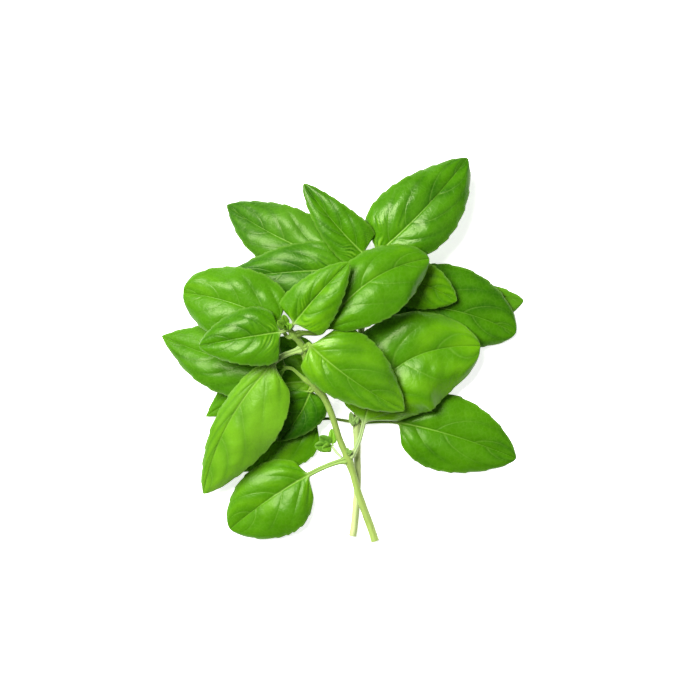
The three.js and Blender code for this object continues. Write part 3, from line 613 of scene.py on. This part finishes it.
def tube(points, steps, sides, seed):
    """A stem: a rounded square section swept along its centre line, as rings of points in mm, with
    the share of its length at each ring."""
    centre, radius = swept_points(points, steps)
    along = unit(np.gradient(centre, axis=0))
    side, up = side_frame(along, np.zeros(steps))
    angle = 2 * np.pi * (np.arange(sides) + 0.5) / sides
    run = np.concatenate([[0], np.cumsum(np.linalg.norm(np.diff(centre, axis=0), axis=1))])
    shift = np.random.default_rng(seed).uniform(0, 6)
    (broad_ribs, broad_depth), (fine_ribs, fine_depth) = RIBS
    ridges = SQUARE * np.cos(4 * angle) + broad_depth * np.cos(broad_ribs * angle + shift)
    ridges = ridges + fine_depth * np.cos(fine_ribs * angle + 1)
    run_grid, angle_grid = np.meshgrid(run, 3 * angle, indexing="ij")
    uneven = UNEVEN[0] * Wobble(seed + 3)(run_grid, angle_grid, UNEVEN[1])
    r = radius[:, None] * (1 + ridges + uneven)
    ring = centre[:, None] + side[:, None] * (r * np.cos(angle))[..., None]
    ring = ring + up[:, None] * (r * np.sin(angle))[..., None]
    ring[..., 2] = np.maximum(ring[..., 2], 0.0)
    return ring, run / run[-1]


def tube_faces(rows, sides, first=0):
    """The faces between the rings of a tube, whose points are counted from first."""
    index = first + np.arange(rows * sides).reshape(rows, sides)
    beside = np.roll(index, -1, axis=1)
    return np.stack([index[:-1], beside[:-1], beside[1:], index[1:]], -1).reshape(-1, 4)


def stem_end(ring, inner, first, rim):
    """A stem's end face: a bevelled rim and a nearly flat middle. rim holds the point numbers of
    the ring, inner is the next ring, and the new points are counted from first."""
    sides = len(ring)
    middle = ring.mean(0)
    out = unit(middle - inner.mean(0))
    points = [middle + (ring - middle) * share + out * rise for share, rise in END_STEPS]
    loops = [rim] + [first + k * sides + np.arange(sides) for k in range(len(points))]
    faces = []
    for outer, within in zip(loops[:-1], loops[1:]):
        faces.extend(np.stack([outer, within, np.roll(within, -1), np.roll(outer, -1)], -1).tolist())
    hub = first + len(points) * sides
    faces.extend([a, hub, b] for a, b in zip(loops[-1].tolist(), np.roll(loops[-1], -1).tolist()))
    return np.concatenate([*points, middle[None]]), faces


def add_mesh(name, points, faces, looks, materials, slots):
    """A mesh object in metres at the origin, with a number at each point for each look."""
    mesh = bpy.data.meshes.new(name)
    faces = faces if isinstance(faces, list) else faces.tolist()
    mesh.from_pydata((points * MM).tolist(), [], faces)
    for key, values in looks.items():
        layer = mesh.attributes.new(key, "FLOAT", "POINT")
        layer.data.foreach_set("value", np.asarray(values, np.float32))
    mesh.polygons.foreach_set("material_index", np.asarray(slots, np.int32))
    mesh.polygons.foreach_set("use_smooth", np.ones(len(mesh.polygons), bool))
    for material in materials:
        mesh.materials.append(material)
    piece = bpy.data.objects.new(name, mesh)
    bpy.context.scene.collection.objects.link(piece)
    return piece


def place(piece, node, slot):
    """The piece takes a node's place in the bunch, which is one rigid body."""
    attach(piece, "root")
    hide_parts(node)


class Graph:
    """A short way to write a material's nodes."""

    def __init__(self, name):
        self.material = bpy.data.materials.new(name)
        self.material.use_nodes = True
        self.tree = self.material.node_tree
        self.tree.nodes.clear()
        self.out = self.tree.nodes.new("ShaderNodeOutputMaterial")
        self.place = self.tree.nodes.new("ShaderNodeTexCoord").outputs["Object"]

    def node(self, kind, **inputs):
        node = self.tree.nodes.new(kind)
        for key, value in inputs.items():
            self.put(node, key.replace("_", " "), value)
        return node

    def put(self, node, key, value):
        socket = node.inputs[key]
        if isinstance(value, bpy.types.NodeSocket):
            self.tree.links.new(value, socket)
        elif isinstance(value, tuple) and len(value) == 3 and socket.type == "RGBA":
            socket.default_value = (*value, 1.0)
        else:
            socket.default_value = value

    def math(self, operation, a, b=0.0):
        node = self.tree.nodes.new("ShaderNodeMath")
        node.operation = operation
        self.put(node, 0, a)
        self.put(node, 1, b)
        return node.outputs[0]

    def add(self, *values):
        total = values[0]
        for value in values[1:]:
            total = self.math("ADD", total, value)
        return total

    def times(self, a, b):
        return self.math("MULTIPLY", a, b)

    def about(self, value, middle, share):
        """How far a value lies from its middle, times a share."""
        return self.times(self.math("SUBTRACT", value, middle), share)

    def attribute(self, name):
        node = self.tree.nodes.new("ShaderNodeAttribute")
        node.attribute_name = name
        return node.outputs["Fac"]

    def step(self, value, low, high, to_low=0.0, to_high=1.0):
        node = self.tree.nodes.new("ShaderNodeMapRange")
        node.interpolation_type = "SMOOTHSTEP"
        keys = ("Value", "From Min", "From Max", "To Min", "To Max")
        for key, x in zip(keys, (value, low, high, to_low, to_high)):
            self.put(node, key, x)
        return node.outputs["Result"]

    def mix(self, factor, a, b):
        node = self.tree.nodes.new("ShaderNodeMix")
        node.data_type = "RGBA"
        self.put(node, 0, factor)
        self.put(node, 6, a)
        self.put(node, 7, b)
        return node.outputs[2]

    def noise(self, scale, detail=3.0, rough=0.5, place=None):
        node = self.node("ShaderNodeTexNoise", Scale=scale, Detail=detail, Roughness=rough)
        self.tree.links.new(place or self.place, node.inputs["Vector"])
        return node.outputs["Fac"]

    def cells(self, scale):
        node = self.tree.nodes.new("ShaderNodeTexVoronoi")
        node.feature = "DISTANCE_TO_EDGE"
        self.put(node, "Scale", scale)
        self.tree.links.new(self.place, node.inputs["Vector"])
        return node.outputs["Distance"]

    def stretched(self, scale):
        node = self.tree.nodes.new("ShaderNodeMapping")
        node.inputs["Scale"].default_value = scale
        self.tree.links.new(self.place, node.inputs["Vector"])
        return node.outputs["Vector"]

    def bump(self, height, distance, strength, under=None):
        node = self.node("ShaderNodeBump", Strength=strength, Distance=distance, Height=height)
        if under is not None:
            self.tree.links.new(under, node.inputs["Normal"])
        return node.outputs["Normal"]

    def surface(self, color, roughness, normal, specular, through=0.0, glow=None, lit=0.0):
        """A glossy surface. A share of the light passes through it with the colour glow, and lit
        is how strongly it shines by itself."""
        face = self.node("ShaderNodeBsdfPrincipled", Base_Color=color, Roughness=roughness)
        self.put(face, "Normal", normal)
        self.put(face, "Specular IOR Level", specular)
        self.put(face, "Specular Tint", SHINE_COLOR)
        self.put(face, "Emission Color", (1.0, 1.0, 1.0))
        self.put(face, "Emission Strength", lit)
        shader = face.outputs[0]
        if through:
            back = self.node("ShaderNodeBsdfTranslucent", Color=glow, Normal=normal)
            both = self.tree.nodes.new("ShaderNodeMixShader")
            self.put(both, 0, through)
            self.tree.links.new(shader, both.inputs[1])
            self.tree.links.new(back.outputs[0], both.inputs[2])
            shader = both.outputs[0]
        self.tree.links.new(shader, self.out.inputs["Surface"])
        return self.material


# Patterns on the leaves, in repeats to a metre, and how deep their bumps are, in metres.
NET_SCALE = 430.0  # net of the finest veins
PATCH_SCALE = 60.0  # patches of lighter and darker green
BLOTCH_SCALE = 22.0  # broader ones
GRAIN_SCALE = 900.0  # grain of the skin
GRAIN_DEPTH = 0.00012
WRINKLE_SCALE = 150.0
WRINKLE_DEPTH = 0.0004

# Roughness, shine and the share of light that passes through a leaf's upper and lower side.
UPPER_SURFACE = (0.34, 0.2, 0.24)
UNDER_SURFACE = (0.58, 0.1, 0.42)


def leaf_material(name, under, deep, middle, light, milky, pale):
    """One side of the leaves, with its veins, patches and stalk."""
    g = Graph(name)
    vein, rib, rim = g.attribute("vein"), g.attribute("rib"), g.attribute("rim")
    along, stalk = g.attribute("along"), g.attribute("stalk")
    tone, haze, gloss = g.attribute("tone"), g.attribute("haze"), g.attribute("gloss")
    far, streak, stalk_tone = g.attribute("far"), g.attribute("streak"), g.attribute("stalk_tone")
    ridge = g.math("ABSOLUTE", g.math("COSINE", g.times(vein, math.pi)))
    inside = g.times(g.step(rim, 0.4, 3.5), g.step(along, 0.02, 0.10))
    side_vein = g.times(g.times(g.step(ridge, 0.15, 0.02), inside), g.step(far, 0.85, 0.3))
    rib_width = g.math("SUBTRACT", 1.0, g.times(g.math("POWER", along, 0.5), 0.78))
    main_vein = g.step(rib, rib_width, g.times(rib_width, 0.2))
    net = g.step(g.cells(NET_SCALE), 0.16, 0.0)
    patch, blotch = g.noise(PATCH_SCALE, 3.0), g.noise(BLOTCH_SCALE, 2.0)

    # How light the green is, from the leaf's tone, its patches and its relief. The relief's part is
    # painted light and shade: the green is lighter on the crests between the side veins and on the
    # pleats near the base, and darker in the furrows.
    swell = g.times(g.about(ridge, 0.6, 0.5), g.step(far, 1.0, 0.5))
    level = g.add(tone, g.about(patch, 0.5, 1.5), g.about(blotch, 0.5, 1.9), swell)
    level = g.add(level, g.step(along, 0.35, 0.0, 0.0, 0.4), g.times(streak, 1.5))

    # That green, then a milky veil and paler margins, then the pale veins, then the stalk over it
    # all. The milky veil, as strong as each leaf's haze, is a painted sheen.
    color = g.mix(g.step(level, -1.2, 0.0), deep, middle)
    color = g.mix(g.step(level, 0.0, 1.0), color, light)
    color = g.mix(g.times(haze, g.add(0.5, g.about(blotch, 0.5, 1.5))), color, milky)
    color = g.mix(g.step(rim, 1.5, 0.1, 0.0, 0.38), color, milky)
    color = g.mix(g.times(net, 0.14 if under else 0.06), color, pale)
    color = g.mix(g.times(side_vein, 0.5 if under else 0.2), color, pale)
    # Painted highlight: the tops of the pleats near the base are paler.
    color = g.mix(g.step(streak, 0.1, 0.5, 0.0, 0.3), color, pale)
    main_mix = g.step(along, 0.7, 0.1, 0.2, 0.9 if under else 0.75)
    color = g.mix(g.times(main_vein, main_mix), color, pale)
    # A stalk's green: darker below 0, which is partly painted shade, and paler above 0.
    stalk_color = g.mix(g.step(stalk_tone, -1.0, 0.0), STALK_DARK, STALK_COLOR)
    stalk_color = g.mix(g.step(stalk_tone, 0.0, 1.0), stalk_color, STALK_PALE)
    color = g.mix(stalk, color, stalk_color)

    # Veins stand out below and lie in furrows above.
    way = 1 if under else -1
    grain = g.times(g.noise(GRAIN_SCALE, 2.0, 0.6), 0.3)
    height = g.add(g.times(net, 0.3 * way), grain, g.times(side_vein, 0.5 * way))
    height = g.times(height, g.math("SUBTRACT", 1.0, stalk))
    normal = g.bump(height, GRAIN_DEPTH, 0.7)
    normal = g.bump(g.noise(WRINKLE_SCALE, 3.0, 0.6), WRINKLE_DEPTH, 0.3, normal)
    dull, shine, through = UNDER_SURFACE if under else UPPER_SURFACE
    rough = g.add(dull, g.about(patch, 0.5, 0.14), g.about(gloss, 1.0, -0.1))
    return g.surface(color, rough, normal, g.times(gloss, shine), through, g.mix(0.5, color, light))


# Patterns on the stems, in repeats to a metre.
STREAK_SCALE = (900.0, 90.0, 900.0)
SPOT_SCALE = 180.0
PORE_SCALE = 1400.0


def stem_material(name, low, high, mark):
    """A stem that changes from one colour at its cut end to another at its tip, with marks."""
    g = Graph(name)
    run, cut = g.attribute("run"), g.attribute("cut")
    streak = g.noise(1.0, 4.0, 0.6, g.stretched(STREAK_SCALE))
    blotch = g.noise(SPOT_SCALE, 3.0, 0.55)
    color = g.mix(run, low, high)
    color = g.mix(g.step(streak, 0.48, 0.75, 0.0, 0.45), color, mark)
    color = g.mix(g.step(blotch, 0.55, 0.8, 0.0, 0.3), color, mark)
    color = g.mix(cut, color, CUT_COLOR)
    normal = g.bump(streak, 0.0003, 0.6)
    normal = g.bump(g.noise(PORE_SCALE, 2.0), 0.00008, 0.5, normal)
    rough = g.add(0.4, g.times(blotch, 0.15))
    return g.surface(color, rough, normal, 0.35, 0.15, STEM_GLOW)


# Colours, darker than they look in the picture, because the light is strong.
SHINE_COLOR = (0.86, 1.0, 0.55)
STEM_GLOW = (0.35, 0.45, 0.15)
STALK_DARK = (0.06, 0.11, 0.012)
STALK_COLOR = (0.17, 0.29, 0.045)
STALK_PALE = (0.36, 0.45, 0.22)
CUT_COLOR = (0.50, 0.53, 0.34)
LEAF_COLORS = {
    "deep": (0.011, 0.070, 0.0004),
    "middle": (0.044, 0.160, 0.0006),
    "light": (0.100, 0.270, 0.002),
    "milky": (0.13, 0.27, 0.03),
    "pale": (0.17, 0.33, 0.04),
}
UNDER_COLORS = {
    "deep": (0.05, 0.15, 0.01),
    "middle": (0.09, 0.22, 0.02),
    "light": (0.13, 0.28, 0.04),
    "milky": (0.16, 0.30, 0.08),
    "pale": (0.22, 0.37, 0.10),
}
STEM_COLORS = {
    "front": {"low": (0.25, 0.34, 0.08), "high": (0.14, 0.25, 0.035), "mark": (0.15, 0.24, 0.045)},
    "rear": {"low": (0.36, 0.43, 0.18), "high": (0.18, 0.28, 0.05), "mark": (0.22, 0.31, 0.08)},
}
upper_leaf = leaf_material("basil_leaf_upper", False, **LEAF_COLORS)
under_leaf = leaf_material("basil_leaf_under", True, **UNDER_COLORS)
stem_materials = {
    shoot + "_stem": stem_material("basil_stem_" + shoot, **colors)
    for shoot, colors in STEM_COLORS.items()
}


def add_looks(looks, look, count):
    """Adds what is the same all over a leaf to its numbers at each point."""
    for key in ("tone", "haze", "gloss"):
        looks[key] = np.full(count, look[key])
    looks["stalk_tone"] = np.full(count, look["stalk"])


def build_leaf(leaf, seed):
    name = leaf["name"]
    look = USUAL_LOOK | LOOKS[name]
    form = leaf | {"veins": look["veins"]}
    top, bottom, looks = leaf_faces(form, look["pleat"], seed, BLADE_ROWS)
    bottom[..., 2] = np.maximum(bottom[..., 2], 0.0)
    top[..., 2] = np.maximum(top[..., 2], bottom[..., 2] + THINNEST)
    points, faces, slots = shell(top, bottom)
    looks = {key: np.tile(values.ravel(), 2) for key, values in looks.items()}
    add_looks(looks, look, len(points))
    piece = add_mesh("detail_" + name, points, faces, looks, [upper_leaf, under_leaf], slots)
    place(piece, name, "young_leaf" if leaf.get("young") else "leaf")


def build_stem(name, points, seed):
    ring, run = tube(points, STEM_ROWS, STEM_SIDES, seed)
    count = STEM_ROWS * STEM_SIDES
    first_rim = np.arange(STEM_SIDES)
    last_rim = count - STEM_SIDES + first_rim
    cut_points, cut_faces = stem_end(ring[0], ring[1], count, first_rim)
    top_points, top_faces = stem_end(ring[-1], ring[-2], count + len(cut_points), last_rim)
    faces = tube_faces(STEM_ROWS, STEM_SIDES).tolist() + cut_faces
    faces += [face[::-1] for face in top_faces]
    ends = len(cut_points)
    looks = {
        "run": np.concatenate([np.repeat(run, STEM_SIDES), np.zeros(ends), np.ones(ends)]),
        "cut": np.concatenate([np.zeros(count), np.ones(ends), np.zeros(ends)]),
    }
    points = np.concatenate([ring.reshape(-1, 3), cut_points, top_points])
    slots = np.zeros(len(faces))
    piece = add_mesh("detail_" + name, points, faces, looks, [stem_materials[name]], slots)
    place(piece, name, "stem")


def bud_leaf(small, turn):
    """A bud's little leaf, in the terms of a large one."""
    at, toward, (length, width), cup = small
    at, along = np.array(at), unit(np.array(toward, float))
    up = side_frame(along[None], np.zeros(1))[1][0]
    side = [width / 2, *BUD_BLUNT]
    curl = cup * length
    return BUD_LEAF | {
        "foot": [*at, 0.0], "lead": along,
        "base": at + BUD_BASE * length * along,
        "crown": at + 0.5 * length * along + (0.25 * curl + BUD_ARCH) * up,
        "tip": at + length * along + curl * up,
        "left": side, "right": side, "phase": 0.2 * turn,
    }


def build_bud(name, bud, seed):
    """A side shoot: little leaves of the same form as the large ones, and their stalk."""
    parts = []
    first = 0
    tones_and_painted_light, pale, stalk = BUD_LOOKS[name]
    look = USUAL_LOOK | {"gloss": BUD_GLOSS, "stalk": stalk}
    for turn, small in enumerate(bud["leaves"]):
        top, bottom, looks = leaf_faces(bud_leaf(small, turn), 0.0, seed + turn, BUD_ROWS)
        points, faces, slots = shell(top, bottom, first)
        looks["stalk"] = np.maximum(0.4 * looks["stalk"], pale)
        looks = {key: np.tile(x.ravel(), 2) for key, x in looks.items()}
        add_looks(looks, look | {"tone": tones_and_painted_light[turn]}, len(points))
        parts.append((points, faces, slots, looks))
        first += len(points)
    if "stalk" in bud:
        ring, _ = tube([(*p, SHOOT_RADIUS) for p in bud["stalk"]], SHOOT_ROWS, SHOOT_SIDES, seed)
        points = ring.reshape(-1, 3)
        faces = tube_faces(SHOOT_ROWS, SHOOT_SIDES, first)
        plain = ON_STALK | {"rib": 5.0, "stalk": 1.0}
        looks = {key: np.full(len(points), value) for key, value in plain.items()}
        add_looks(looks, look, len(points))
        parts.append((points, faces, np.zeros(len(faces), int), looks))
    points, faces, slots = (np.concatenate([part[k] for part in parts]) for k in range(3))
    looks = {key: np.concatenate([part[3][key] for part in parts]) for key in parts[0][3]}
    piece = add_mesh("detail_" + name, points, faces, looks, [upper_leaf, under_leaf], slots)
    place(piece, name, "bud")


for number, leaf in enumerate(LEAVES):
    build_leaf(leaf, LEAF_SEED + number)
for number, (name, points) in enumerate(STEMS.items()):
    build_stem(name, points, STEM_SEED + number)
for number, (name, bud) in enumerate(BUDS.items()):
    build_bud(name, bud, BUD_SEED + 10 * number)

# The white floor, which is no part of the bunch. It is lit a little from below, like the table
# on which such a picture is taken, so that shadows on it stay faint.
FLOOR_SIZE = 8.0  # in metres
FLOOR_LIT = 0.72
FLOOR_COLORS = ((0.93, 0.93, 0.925), (0.96, 0.96, 0.955))

g = Graph("pale_floor")
floor_color = g.mix(g.noise(40.0, 3.0), *FLOOR_COLORS)
floor_bump = g.bump(g.noise(900.0), 0.0001, 0.1)
floor_material = g.surface(floor_color, 0.8, floor_bump, 0.1, lit=FLOOR_LIT)
bpy.ops.mesh.primitive_plane_add(size=FLOOR_SIZE, location=(0, 0, 0))
floor = bpy.context.object
floor.name = "floor"
floor.data.materials.append(floor_material)


def area_light(name, at, size, power, color):
    """A square softbox at a place in metres that faces the bunch."""
    data = bpy.data.lights.new(name, "AREA")
    data.shape = "SQUARE"
    data.size = size
    data.energy = power
    data.color = color
    light = bpy.data.objects.new(name, data)
    bpy.context.scene.collection.objects.link(light)
    light.location = at
    light.rotation_mode = "QUATERNION"
    light.rotation_quaternion = (-Vector(at)).to_track_quat("-Z", "Y")


# A small strong softbox at the upper left, a large weak one opposite, and a white surround.
SURROUND = 0.14
area_light("key_softbox", (-0.5, 0.40, 1.15), size=0.7, power=58.0, color=(1.0, 0.99, 0.96))
area_light("fill_softbox", (0.9, -0.3, 1.1), size=1.2, power=2.0, color=(0.97, 0.99, 1.0))

world = bpy.data.worlds.new("studio")
world.use_nodes = True
background = world.node_tree.nodes["Background"].inputs
background["Color"].default_value = (1, 1, 1, 1)
background["Strength"].default_value = SURROUND
bpy.context.scene.world = world

# The photograph looks straight down on the bunch: 0.45 mm to each of its 700 picture elements.
PIXEL = 0.45 * MM
PICTURE = 700
MIDDLE = 342.5  # the picture element over the frame's middle, from the left
HEIGHT = 3.0  # of the camera, in metres
SCALE_HEIGHT = 0.02  # height at which that scale holds, in metres
SENSOR = 36.0  # width of the camera's sensor, in mm
FAR = 20.0  # how far the camera sees, in metres

camera_data = bpy.data.cameras.new("camera")
camera_data.sensor_width = SENSOR
camera_data.lens = SENSOR * (HEIGHT - SCALE_HEIGHT) / (PICTURE * PIXEL)
camera_data.clip_end = FAR
camera = bpy.data.objects.new("camera", camera_data)
camera.location = ((PICTURE / 2 - MIDDLE) * PIXEL, 0.0, HEIGHT)
bpy.context.scene.collection.objects.link(camera)
bpy.context.scene.camera = camera
bpy.context.scene.view_settings.view_transform = "Standard"
